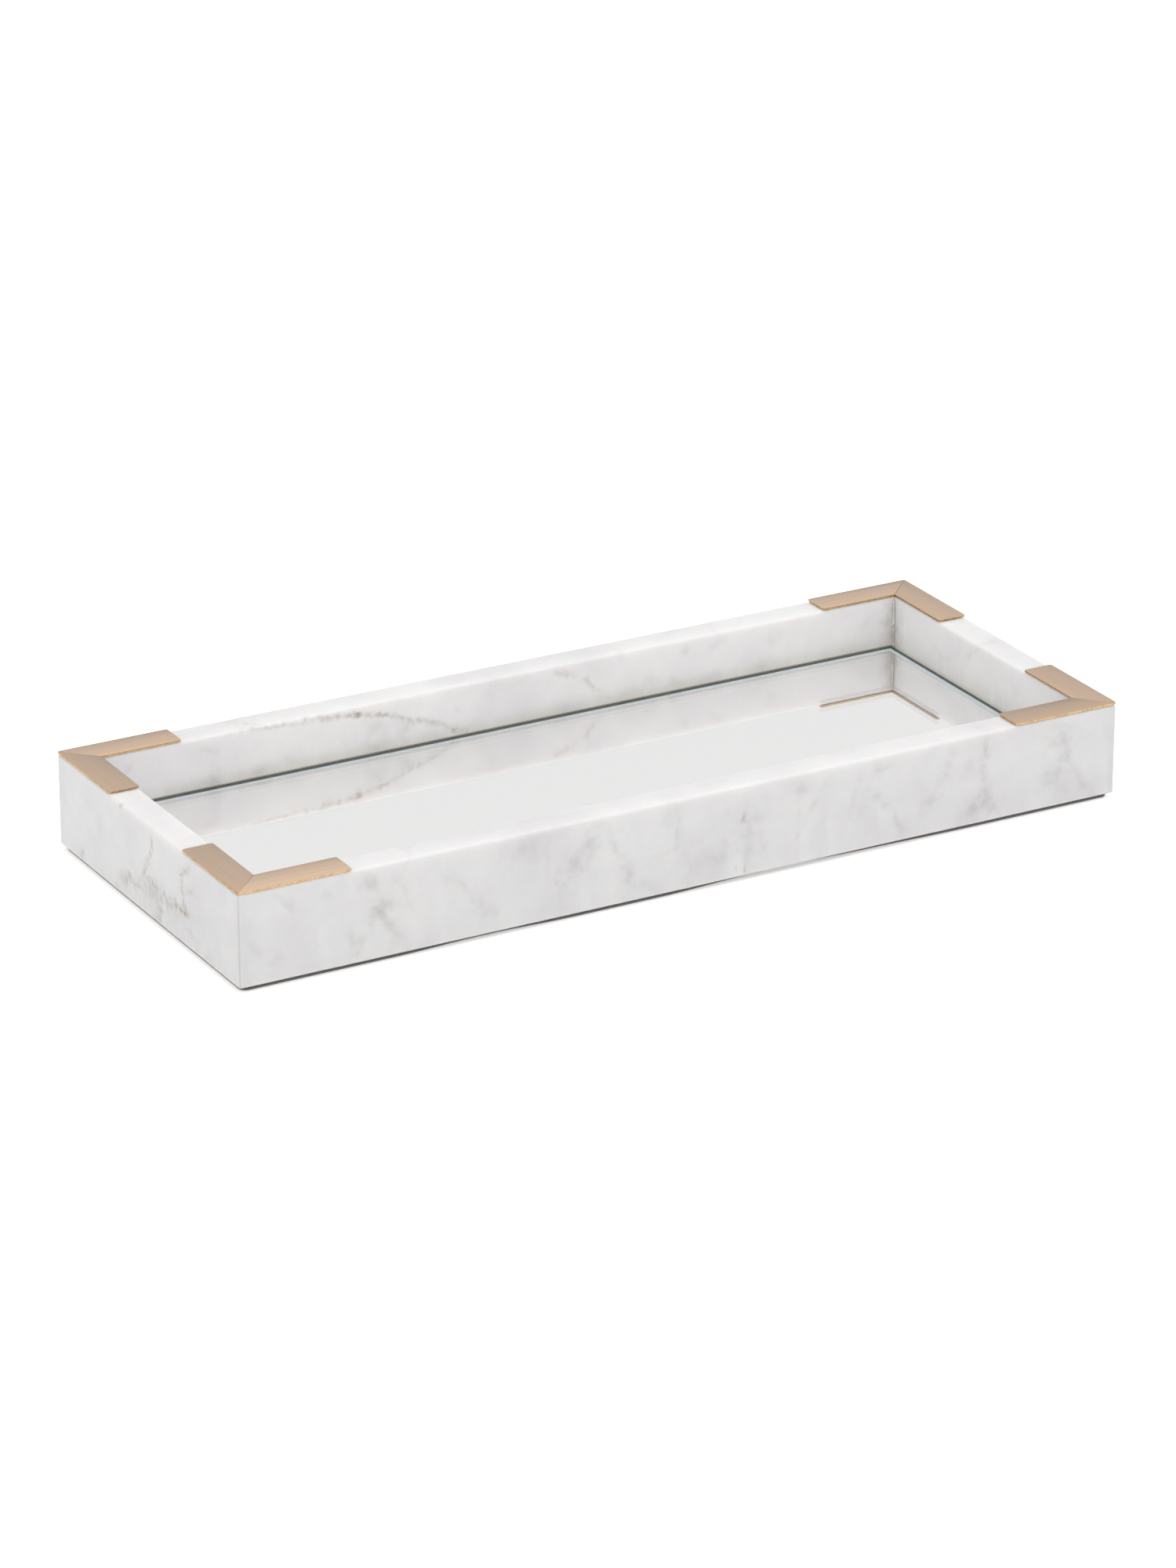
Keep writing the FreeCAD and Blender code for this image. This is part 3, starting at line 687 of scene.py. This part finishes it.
def make_rail(side):
    """One marble rail, made as the front one of its length and then turned into place."""
    choice = settings("tray_marble")
    low, high = box_of(side + "_rail")
    thick = box_of("front_rail")[1].y - box_of("front_rail")[0].y
    half_length, half_width = outline()
    half, outer = (half_length, -half_width) if is_long(side) else (half_width, -half_length)
    near_end = Vector((-half, outer, low.z))
    far_end = Vector((half, outer + thick, high.z))
    piece = block(side + "_rail_stone", near_end, far_end)
    core = outer + thick / 2
    round_edges(piece, lambda edge: upright(edge) and edge.verts[0].co.y < core, choice.corner, 5)
    for sign in (-1, 1):
        away = Vector((sign, 1, 0)).normalized()
        cut_away(Vector((sign * half, outer, 0)) - away * choice.joint / 2, away)
    middle = (low.z + high.z) / 2
    round_edges(piece, lambda edge: on_arris(edge) and edge.verts[0].co.z > middle, choice.arris, 5)
    round_edges(piece, lambda edge: on_arris(edge) and edge.verts[0].co.z < middle, choice.foot_arris, 3)
    pick(piece, "EDGE", lambda edge: abs(direction(edge).x) > 0.999 and edge.calc_length() > thick)
    bpy.ops.mesh.subdivide(number_cuts=int(2 * half / MM))
    leave_edit()
    roughen_arris(piece, choice.chips, 1.2 * MM)
    quarter_turns(piece, SIDES[side])
    smooth(piece)
    dress(piece, marble_material(side))
    adopt(piece, "marble", side + "_rail")


# ---- glue ------------------------------------------------------------------------------------

def glue_material(name, pale, dull):
    material, tree, shader = start_material(name, Roughness=0.55)
    point = object_point(tree)
    blotch = noise(tree, point, 160.0, detail=4.0)
    paint(tree, shader, blotch, 0.35, 0.65, rgba(pale), rgba(dull))
    bump(tree, shader, noise(tree, point, 900.0), 0.05 * MM, 0.5)
    return material


def make_bead(glue):
    """The lumpy glue that stands in the back right inside corner."""
    low, high = box_of("glue_bead_back_right")
    radius = high.x - low.x
    height = high.z - low.z
    clearance = 0.02 * MM
    deselect()
    bpy.ops.mesh.primitive_cylinder_add(
        vertices=32, radius=radius, depth=height, location=(high.x, high.y, (low.z + high.z) / 2))
    piece = bpy.context.active_object
    piece.name = "corner_glue_bead"
    settle(piece)
    bpy.ops.object.mode_set(mode="EDIT")
    pick(piece, "EDGE", upright)
    bpy.ops.mesh.subdivide(number_cuts=60)
    for normal in (Vector((1, 0, 0)), Vector((0, 1, 0))):
        cut_away(high - normal * clearance, normal)
    leave_edit()
    displace(piece, "lumps", grain=1.6 * MM, strength=0.9 * MM, level=0.9)
    smooth(piece, 50)
    dress(piece, glue)
    adopt(piece, "stone_glue", "glue_bead_back_right")


# ---- brass -----------------------------------------------------------------------------------

# How bright each strip is painted: painted sheen, for how each strip's brushing catches the light.
PAINTED_SHEEN = {
    "front_left_strip_front": 1.15,
    "front_left_strip_left": 0.92,
    "front_right_strip_front": 0.90,
    "front_right_strip_right": 0.96,
    "back_right_strip_back": 1.05,
    "back_right_strip_right": 1.01,
    "back_left_strip_back": 1.06,
    "back_left_strip_left": 0.94,
}


def shaded(three, factor):
    return rgba(tuple(min(1.0, factor * part) for part in three))


def brass_material(node, grain_along_x):
    """Brushed champagne brass whose scratches run along the strip."""
    choice = settings("tray_brass")
    material, tree, shader = start_material(node + "_brushed", Metallic=1.0)
    point = object_point(tree)
    fine = (14.0, 1500.0, 1.0) if grain_along_x else (1500.0, 14.0, 1.0)
    broad = (6.0, 330.0, 1.0) if grain_along_x else (330.0, 6.0, 1.0)
    scratches = noise(tree, stretch(tree, point, fine), 1.0, detail=4.0, roughness=0.7)
    bands = noise(tree, stretch(tree, point, broad), 1.0, detail=3.0)
    worn = noise(tree, point, 60.0, detail=3.0)
    # Painted sheen: each strip's colour is made lighter or darker by how its brushing catches the light.
    lighter = shaded(choice.face, PAINTED_SHEEN[node])
    darker = shaded(choice.face, 0.86 * PAINTED_SHEEN[node])
    streaked = mix(tree, spread(tree, scratches, 0.3, 0.7, 0.0, 0.55), lighter, darker)
    toned = mix(tree, spread(tree, bands, 0.35, 0.65, 0.0, 0.4), streaked, darker)
    tree.links.new(toned, shader.inputs["Base Color"])
    brushed = spread(tree, scratches, 0.2, 0.8, choice.roughness - 0.06, choice.roughness + 0.08)
    rough = maths(tree, "ADD", brushed, spread(tree, worn, 0.3, 0.7, -0.02, 0.03))
    tree.links.new(rough, shader.inputs["Roughness"])
    bump(tree, shader, scratches, 0.01 * MM, 0.35)
    return material


def cut_edge_material(name, tone):
    choice = settings("tray_brass")
    material, tree, shader = start_material(name, Metallic=1.0)
    marks = noise(tree, object_point(tree), 700.0, detail=3.0)
    # The tone paints one direction of cut edge darker than the other: painted shade.
    paint(tree, shader, marks, 0.4, 0.75, shaded(choice.edge, tone), shaded(choice.edge, 0.7 * tone))
    tree.links.new(spread(tree, marks, 0.3, 0.7, 0.22, 0.4), shader.inputs["Roughness"])
    return material


def strip_reach(low, high, corner):
    """How far a strip runs from its corner of the tray."""
    across = max(abs(low.x - corner.x), abs(high.x - corner.x))
    along = max(abs(low.y - corner.y), abs(high.y - corner.y))
    return max(across, along)


def corner_place(corner):
    half_length, half_width = outline()
    return Vector((half_length if "right" in corner else -half_length,
                   half_width if "back" in corner else -half_width, 0))


def make_strip(corner, side, turned_over, cut):
    """A strip is shaped at the origin, with its mitre there, then turned and moved to its corner."""
    choice = settings("tray_brass")
    node = "%s_strip_%s" % (corner, side)
    low, high = box_of(node)
    wide = min(high.x - low.x, high.y - low.y)
    place = corner_place(corner)
    reach = strip_reach(low, high, place)
    inward = -1 if turned_over else 1
    near, far = sorted((0, inward * wide))

    def at_tip(edge):
        return upright(edge) and edge.verts[0].co.xy.length < choice.tip

    def at_free_end(edge):
        return upright(edge) and edge.verts[0].co.x > reach - choice.free_end

    def on_rim(edge):
        return not upright(edge) and not all(map(is_flat_face, edge.link_faces))

    piece = block(node + "_brass", Vector((0, near, low.z)), Vector((reach, far, high.z)))
    round_edges(piece, at_tip, choice.tip, 6)
    round_edges(piece, at_free_end, choice.free_end, 6)
    away = Vector((-1, inward, 0)).normalized()
    cut_away(-away * choice.gap / 2, away)
    round_edges(piece, on_rim, choice.burr, 2)
    leave_edit()
    only(piece)
    piece.rotation_euler.z = (CORNERS.index(corner) + int(turned_over)) * math.pi / 2
    piece.location = place
    settle(piece)
    smooth(piece, 40)
    dress(piece, brass_material(node, is_long(side)), cut)
    for polygon in piece.data.polygons:
        polygon.material_index = 0 if abs(polygon.normal.z) > 0.6 else 1
    adopt(piece, "brass", node)


# ---- mirror ----------------------------------------------------------------------------------

def clear_glass():
    choice = settings("tray_mirror")
    material, tree, shader = start_material(
        "clear_glass", Base_Color=rgba(choice.glass), Roughness=0.0, IOR=1.52, Transmission_Weight=1.0)
    haze = noise(tree, object_point(tree), 30.0, detail=4.0)
    tree.links.new(spread(tree, haze, 0.45, 0.8, 0.0, 0.012), shader.inputs["Roughness"])
    return material


def ground_edge():
    """The ground edge: dark and greenish through the glass, partly its own green and partly painted shade;
    pale outside, with a glow of painted light for the light that comes out of it.
    """
    choice = settings("tray_mirror")
    material, tree, shader = start_material("ground_glass_edge", IOR=1.1, Emission_Color=(0.92, 1, 0.95, 1))
    point = object_point(tree)
    marks = noise(tree, stretch(tree, point, (60.0, 60.0, 900.0)), 1.0, detail=3.0)
    dark = mix(tree, spread(tree, marks, 0.35, 0.75), rgba(choice.edge), shaded(choice.edge, 0.8))
    # Painted light and shade: from outside the edge is pale and glows, from within the glass it is darker.
    from_within = add(tree, "ShaderNodeNewGeometry").outputs["Backfacing"]
    tree.links.new(mix(tree, from_within, rgba(choice.bare), dark), shader.inputs["Base Color"])
    tree.links.new(spread(tree, from_within, 0.0, 1.0, choice.painted_edge_glow, 0.0, "LINEAR"),
                   shader.inputs["Emission Strength"])
    tree.links.new(spread(tree, marks, 0.3, 0.7, 0.30, 0.45), shader.inputs["Roughness"])
    return material


def silver_film():
    choice = settings("tray_mirror")
    material, tree, shader = start_material(
        "silver_film", Base_Color=rgba(choice.silver), Metallic=1.0, Roughness=0.0)
    age = noise(tree, object_point(tree), 12.0, detail=3.0)
    tree.links.new(spread(tree, age, 0.4, 0.8, 0.0, 0.01), shader.inputs["Roughness"])
    return material


def bare_rim_painted_glow():
    """The pale sealed rim that the silver doesn't reach. Its faint glow is painted light that brightens it.
    """
    choice = settings("tray_mirror")
    material, tree, shader = start_material(
        "bare_rim_painted_glow", Roughness=0.5, Emission_Color=(0.85, 0.95, 1, 1), Emission_Strength=0.25)
    patches = noise(tree, object_point(tree), 150.0, detail=3.0)
    paint(tree, shader, patches, 0.3, 0.7, rgba(choice.bare), shaded(choice.bare, 0.85))
    return material


def brown_seam_line():
    """The brown line on the seamed upper edge of the glass."""
    choice = settings("tray_mirror")
    material, tree, shader = start_material("brown_seam_line", Roughness=0.7)
    grime = noise(tree, object_point(tree), 350.0, detail=3.0)
    paint(tree, shader, grime, 0.3, 0.7, rgba(choice.brown_line), shaded(choice.brown_line, 0.7))
    return material


def backing_paint():
    material, tree, shader = start_material("backing_paint", Roughness=0.6)
    specks = noise(tree, object_point(tree), 500.0, detail=3.0)
    paint(tree, shader, specks, 0.4, 0.7, (0.16, 0.15, 0.14, 1), (0.22, 0.21, 0.19, 1))
    return material


def make_glass():
    """Clear on top, ground round the edge and silvered underneath, though not quite to the edge."""
    choice = settings("tray_mirror")
    low, high = box_of("mirror_glass")
    piece = block("mirror_glass_sheet", low + UP * choice.lift, high)
    round_edges(piece, lambda edge: True, choice.seam, 1)
    pick(piece, "FACE", lambda face: face.normal.z < -0.99)
    bpy.ops.mesh.inset(thickness=choice.dim)
    bpy.ops.mesh.inset(thickness=choice.rim)
    leave_edit()
    clear, ground, silver, bare, brown_line = range(5)
    dress(piece, clear_glass(), ground_edge(), silver_film(), bare_rim_painted_glow(), brown_seam_line())
    for polygon in piece.data.polygons:
        from_edge = min(high.x - abs(polygon.center.x), high.y - abs(polygon.center.y))
        if polygon.normal.z > 0.99:
            polygon.material_index = clear
        elif polygon.normal.z > 0.5:
            polygon.material_index = brown_line
        # The ground edge's colour, with its painted shade, also covers a narrow band of the underside.
        elif polygon.normal.z > -0.99 or from_edge < choice.seam + choice.dim:
            polygon.material_index = ground
        else:
            polygon.material_index = bare if from_edge < choice.seam + choice.dim + choice.rim else silver
    adopt(piece, "mirror_glass", "mirror_glass")


# ---- board, tape and felt --------------------------------------------------------------------

def board_material_painted_glow():
    """Fibreboard. It glows a little: painted light for the light that gets under the glass and comes up
    round its edge.
    """
    material, tree, shader = start_material(
        "raw_fibreboard", Roughness=0.8, Emission_Color=(1, 0.9, 0.75, 1), Emission_Strength=0.2)
    point = object_point(tree)
    fibres = noise(tree, stretch(tree, point, (300.0, 900.0, 900.0)), 1.0, detail=5.0)
    paint(tree, shader, fibres, 0.3, 0.7, (0.32, 0.23, 0.14, 1), (0.46, 0.34, 0.22, 1))
    bump(tree, shader, fibres, 0.1 * MM, 0.4)
    return material


def tape_material():
    material, tree, shader = start_material("foam_tape", Roughness=0.85)
    cells = noise(tree, object_point(tree), 1400.0, detail=2.0)
    paint(tree, shader, cells, 0.35, 0.65, (0.78, 0.78, 0.76, 1), (0.66, 0.66, 0.64, 1))
    bump(tree, shader, cells, 0.1 * MM, 0.5)
    return material


def strip_glue_material():
    material, tree, shader = start_material("strip_glue", Roughness=0.4)
    patches = noise(tree, object_point(tree), 240.0, detail=3.0)
    paint(tree, shader, patches, 0.35, 0.65, (0.07, 0.055, 0.04, 1), (0.15, 0.11, 0.07, 1))
    return material


def felt_material():
    material, tree, shader = start_material(
        "black_felt", Roughness=0.95, Sheen_Weight=0.35, Sheen_Roughness=0.5)
    point = object_point(tree)
    fibres = noise(tree, point, 900.0, detail=6.0, roughness=0.75, distortion=1.5)
    matting = noise(tree, point, 90.0, detail=4.0)
    dark = mix(tree, spread(tree, fibres, 0.35, 0.7), (0.06, 0.06, 0.062, 1), (0.14, 0.14, 0.145, 1))
    matted = mix(tree, spread(tree, matting, 0.4, 0.7, 0.0, 0.5), dark, (0.09, 0.09, 0.093, 1))
    height = component(tree, point, "Z")
    # Paler grey towards the bottom edge of the felt.
    paler_towards_bottom = spread(tree, height, 0.9 * MM, 0.1 * MM, 0.0, 0.35)
    tree.links.new(mix(tree, paler_towards_bottom, matted, (0.5, 0.5, 0.5, 1)), shader.inputs["Base Color"])
    bump(tree, shader, fibres, 0.4 * MM, 0.8)
    return material


# Where the front edge of the felt stands off the table: how far along from the middle, how far the lift
# reaches to either side, and how high it is at its highest.
FELT_LIFTS = (
    (-88 * MM, 34 * MM, 0.8 * MM),
    (32 * MM, 42 * MM, 1.1 * MM),
    (72 * MM, 50 * MM, 0.7 * MM),
)

# How many cuts its long edges take, how far its corners and its edge are rounded, and how far in from the
# edge the underside is one flat face.
FELT_CUTS = 90
FELT_CORNER = 3 * MM
FELT_EDGE = 0.35 * MM
FELT_MARGIN = 4 * MM


def is_under_front(low, high):
    """Finds the lower front edge between the corners of the felt."""
    slack = 0.6 * MM
    end = high.x - 2 * FELT_CORNER

    def test(edge):
        return all(vertex.co.z < low.z + slack and vertex.co.y < low.y + slack and abs(vertex.co.x) < end
                   for vertex in edge.verts)

    return test


def lift_front_edge(piece, low, high):
    """Lifts the lower front edge here and there, with the rest of the felt hidden from the move."""
    step = (high.x - low.x) / FELT_CUTS
    pick(piece, "EDGE", is_under_front(low, high))
    bpy.ops.mesh.hide(unselected=True)
    for along, reach, height in FELT_LIFTS:
        pick(piece, "EDGE", lambda edge: not edge.hide and abs(edge.verts[0].co.x - along) < step / 2)
        bpy.ops.transform.translate(
            value=(0, 0, height), use_proportional_edit=True, proportional_edit_falloff="SMOOTH",
            proportional_size=reach)
    bpy.ops.mesh.reveal(select=False)


def make_felt():
    """A sheet of felt with a soft edge that doesn't lie quite flat in front."""
    low, high = box_of("felt_underlay")
    shortest = 100 * MM
    piece = block("felt_sheet", low, high)
    round_edges(piece, upright, FELT_CORNER, 6)
    round_edges(piece, lambda edge: not upright(edge), FELT_EDGE, 2)
    pick(piece, "EDGE", lambda edge: abs(direction(edge).x) > 0.999 and edge.calc_length() > shortest)
    bpy.ops.mesh.subdivide(number_cuts=FELT_CUTS)
    pick(piece, "FACE", lambda face: face.normal.z < -0.99)
    bpy.ops.mesh.inset(thickness=FELT_MARGIN)
    lift_front_edge(piece, low, high)
    leave_edit()
    smooth(piece, 40)
    dress(piece, felt_material())
    adopt(piece, "felt", "felt_underlay")


# ---- stage -----------------------------------------------------------------------------------

AIM = Vector((1.0, 5.1, 13.9)) * MM
ROLL = math.radians(0.07)
SENSOR = 36.0


def make_camera():
    choice = settings("tray_stage")
    data = bpy.data.cameras.new("camera")
    data.lens = choice.lens
    data.sensor_width = SENSOR
    data.clip_end = 100
    camera = bpy.data.objects.new("camera", data)
    bpy.context.scene.collection.objects.link(camera)
    back = Vector((-math.sin(choice.turn) * math.cos(choice.height),
                   -math.cos(choice.turn) * math.cos(choice.height),
                   math.sin(choice.height)))
    camera.location = AIM + back * choice.range
    look = (-back).to_track_quat("-Z", "Y").to_euler()
    look.rotate_axis("Z", ROLL)
    camera.rotation_euler = look
    bpy.context.scene.camera = camera


def softbox(name, place, target, width, height, watts):
    light = bpy.data.lights.new(name, "AREA")
    light.shape = "RECTANGLE"
    light.size = width
    light.size_y = height
    light.energy = watts
    thing = bpy.data.objects.new(name, light)
    thing.location = place
    thing.rotation_euler = (Vector(target) - Vector(place)).to_track_quat("-Z", "Y").to_euler()
    bpy.context.scene.collection.objects.link(thing)


def make_world():
    """White surroundings, brighter overhead, in front and to the right."""
    choice = settings("tray_stage")
    world = bpy.data.worlds.new("white_studio")
    world.use_nodes = True
    tree = world.node_tree
    towards = add(tree, "ShaderNodeTexCoord").outputs["Generated"]
    parts = add(tree, "ShaderNodeSeparateXYZ", {"Vector": towards}).outputs
    rising = spread(tree, parts["Z"], 0.0, 1.0, choice.horizon, choice.zenith, "LINEAR")
    to_right = maths(tree, "MULTIPLY", parts["X"], choice.right)
    to_back = maths(tree, "MULTIPLY", parts["Y"], choice.back)
    above = maths(tree, "ADD", rising, maths(tree, "ADD", to_right, to_back))
    is_above = maths(tree, "GREATER_THAN", parts["Z"], 0.0)
    background = tree.nodes["Background"]
    background.inputs["Color"].default_value = (1, 1, 1, 1)
    tree.links.new(spread(tree, is_above, 0.0, 1.0, choice.below, above, "LINEAR"),
                   background.inputs["Strength"])
    bpy.context.scene.world = world


def make_floor():
    """A white floor, seen from above only, that looks brighter than the light it gives back."""
    deselect()
    bpy.ops.mesh.primitive_plane_add(size=16, location=(0, 0, -0.05 * MM))
    floor = bpy.context.active_object
    floor.name = "studio_floor"
    material, tree, shader = start_material(
        "white_floor", Base_Color=(0.93, 0.93, 0.93, 1), Roughness=0.9,
        Emission_Color=(1, 1, 1, 1), Emission_Strength=0.35)
    from_below = add(tree, "ShaderNodeNewGeometry").outputs["Backfacing"]
    see_through = add(tree, "ShaderNodeBsdfTransparent").outputs["BSDF"]
    one_sided = add(tree, "ShaderNodeMixShader", {0: from_below, 1: shader.outputs["BSDF"], 2: see_through})
    tree.links.new(one_sided.outputs["Shader"], tree.nodes["Material Output"].inputs["Surface"])
    dress(floor, material)
    floor.visible_diffuse = False
    floor.visible_shadow = False


# ---- operators -------------------------------------------------------------------------------

class TRAY_OT_rails(bpy.types.Operator):
    """Make the four mitred marble rails"""
    bl_idname = "tray.rails"
    bl_label = "Marble rails"

    def execute(self, context):
        for side in SIDES:
            make_rail(side)
        return {"FINISHED"}


class TRAY_OT_glue(bpy.types.Operator):
    """Finish the glue in the mitres and round the board, and make the bead in one corner"""
    bl_idname = "tray.glue"
    bl_label = "Glue"

    def execute(self, context):
        film = glue_material("mitre_glue", (0.94, 0.88, 0.76), (0.88, 0.80, 0.66))
        for corner in CORNERS:
            dress(node_object("mitre_glue_" + corner), film)
        dress(node_object("board_glue"), film)
        make_bead(glue_material("stone_glue", (0.70, 0.68, 0.63), (0.56, 0.54, 0.49)))
        return {"FINISHED"}


class TRAY_OT_strips(bpy.types.Operator):
    """Make the eight brass strips and finish the glue under them"""
    bl_idname = "tray.strips"
    bl_label = "Brass corners"

    def execute(self, context):
        # Painted shade: the crosswise cut edges are painted darker than the lengthwise ones, for how they
        # face the light.
        long_cut = cut_edge_material("cut_brass_lengthwise", 1.0)
        cross_cut_painted_shade = cut_edge_material("cut_brass_crosswise", 0.76)
        film = strip_glue_material()
        order = list(SIDES)
        for turn, corner in enumerate(CORNERS):
            plain = order[turn]
            other = order[turn - 1]
            for side in (plain, other):
                cut = long_cut if is_long(side) else cross_cut_painted_shade
                make_strip(corner, side, side == other, cut)
            dress(node_object("strip_glue_" + corner), film)
        return {"FINISHED"}


class TRAY_OT_mirror(bpy.types.Operator):
    """Make the mirror glass and finish its silver and tape"""
    bl_idname = "tray.mirror"
    bl_label = "Mirror"

    def execute(self, context):
        make_glass()
        dress(node_object("mirror_silver"), backing_paint())
        tape = tape_material()
        for name in ("mirror_tape_front", "mirror_tape_back"):
            dress(node_object(name), tape)
        return {"FINISHED"}


class TRAY_OT_base(bpy.types.Operator):
    """Finish the board and make the felt under the tray"""
    bl_idname = "tray.base"
    bl_label = "Board and felt"

    def execute(self, context):
        dress(node_object("base_board"), board_material_painted_glow())
        make_felt()
        return {"FINISHED"}


class TRAY_OT_stage(bpy.types.Operator):
    """Set up the floor, the light and the camera"""
    bl_idname = "tray.stage"
    bl_label = "Stage"

    def execute(self, context):
        context.scene.view_settings.view_transform = "Standard"
        context.scene.cycles.blur_glossy = 0.0
        make_floor()
        make_world()
        softbox("overhead", place=(0.3, -0.3, 2.4), target=(0, 0, 0), width=2.0, height=1.6, watts=2)
        make_camera()
        return {"FINISHED"}


OPERATORS = (TRAY_OT_stage, TRAY_OT_rails, TRAY_OT_glue, TRAY_OT_strips, TRAY_OT_mirror, TRAY_OT_base)
GROUPS = {
    "tray_marble": TrayMarble,
    "tray_brass": TrayBrass,
    "tray_mirror": TrayMirror,
    "tray_stage": TrayStage,
}


class TRAY_PT_panel(bpy.types.Panel):
    bl_label = "Vanity tray"
    bl_idname = "TRAY_PT_panel"
    bl_space_type = "VIEW_3D"
    bl_region_type = "UI"
    bl_category = "Tray"

    def draw(self, context):
        for name, group in GROUPS.items():
            box = self.layout.box()
            box.label(text=group.__name__)
            for key in group.__annotations__:
                box.prop(getattr(context.scene, name), key)
        for operator in OPERATORS:
            self.layout.operator(operator.bl_idname)


def register():
    for thing in (*GROUPS.values(), *OPERATORS, TRAY_PT_panel):
        bpy.utils.register_class(thing)
    for name, group in GROUPS.items():
        setattr(bpy.types.Scene, name, bpy.props.PointerProperty(type=group))


def unregister():
    for name in GROUPS:
        delattr(bpy.types.Scene, name)
    for thing in (TRAY_PT_panel, *reversed(OPERATORS), *reversed(GROUPS.values())):
        bpy.utils.unregister_class(thing)


def run(operator):
    group, name = operator.bl_idname.split(".")
    getattr(getattr(bpy.ops, group), name)()


def main():
    register()
    for operator in OPERATORS:
        run(operator)


if __name__ == "__main__":
    main()
